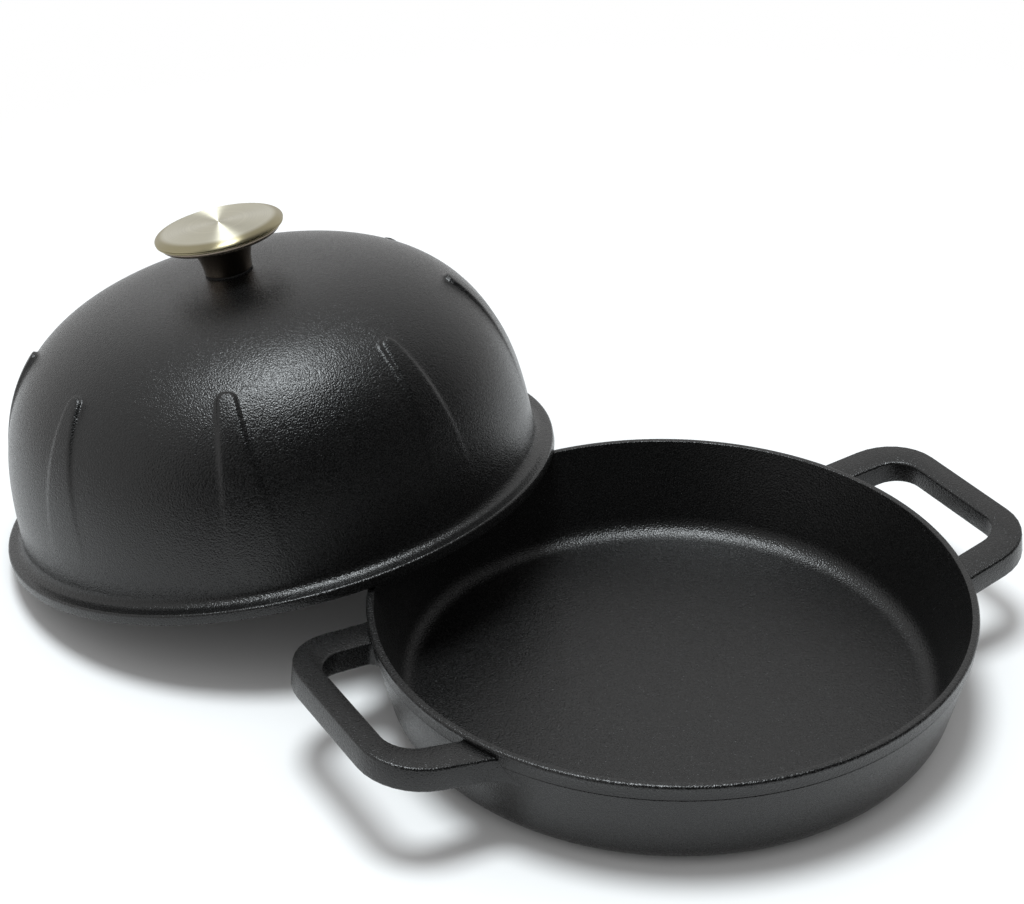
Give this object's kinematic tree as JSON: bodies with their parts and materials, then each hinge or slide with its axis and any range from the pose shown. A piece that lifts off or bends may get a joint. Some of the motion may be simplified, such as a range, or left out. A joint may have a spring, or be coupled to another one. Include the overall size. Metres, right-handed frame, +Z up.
{
  "type": "bread cloche",
  "caption": "Cast iron bread cloche: a shallow round baking pan with two loop handles, and its ribbed domed lid with a steel knob, leaning on the rim.",
  "frame": {"origin": "centre of the pan's flat underside, on the surface it stands on", "axes": "+Z up. The two handles lie along X. The lid leans on the back of the pan's rim, towards +Y and a little towards -X"},
  "size_m": [0.3686, 0.4351, 0.1563],
  "materials": {
    "pan_iron": "matt black enamel with a fine pebbled grain",
    "lid_iron": "matt black enamel with a fine pebbled grain",
    "knob_steel": "spun finish with fine rings round the centre",
    "stem_steel": "turned and polished",
    "screw_steel": "turned stainless steel",
    "spring_steel": "dull spring steel",
    "insert_brass": "turned brass",
    "gasket_rubber": "matt silicone"
  },
  "bodies": {
    "pan": {"base_pan": "pan_iron"},
    "lid": {"dome_lid": "lid_iron", "knob_gasket": "gasket_rubber", "knob_stem": "stem_steel", "threaded_insert": "insert_brass", "knob_cap": "knob_steel", "flat_washer": "screw_steel", "spring_washer": "spring_steel", "knob_screw": "screw_steel"}
  },
  "joints": [
    {"name": "lid_lift", "type": "slide", "parent": "pan", "child": "lid", "axis": [0, 0, 1], "range_m": [0, 0.2]}
  ]
}
